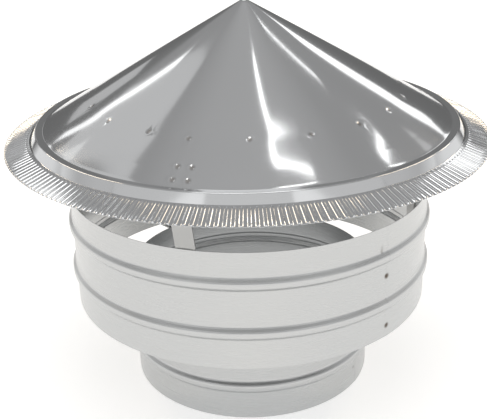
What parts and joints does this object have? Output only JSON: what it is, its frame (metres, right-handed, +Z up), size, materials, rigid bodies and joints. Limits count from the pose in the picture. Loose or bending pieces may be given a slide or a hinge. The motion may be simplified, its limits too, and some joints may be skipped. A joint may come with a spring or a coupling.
{
  "type": "chimney cap",
  "caption": "Round stainless chimney cap: a flue spigot inside a wider beaded wind ring, under a cone hood with a crimped brim carried on bent straps.",
  "frame": {"origin": "centre of the flue pipe's lower rim", "axes": "+Z up along the flue axis, the hood's apex on +Z; -Y towards the viewer of the picture"},
  "size_m": [0.3856, 0.3856, 0.3147],
  "materials": {
    "bright_stainless": "bright annealed sheet",
    "satin_stainless": "satin mill sheet",
    "strip_stainless": "mill strip"
  },
  "bodies": {
    "root": {"flue_pipe": "satin_stainless", "wind_ring": "satin_stainless", "hood_cone": "bright_stainless", "crimped_brim": "bright_stainless", "inner_cone": "bright_stainless", "strap_1": "strip_stainless", "strap_2": "strip_stainless", "strap_3": "strip_stainless"}
  },
  "joints": []
}
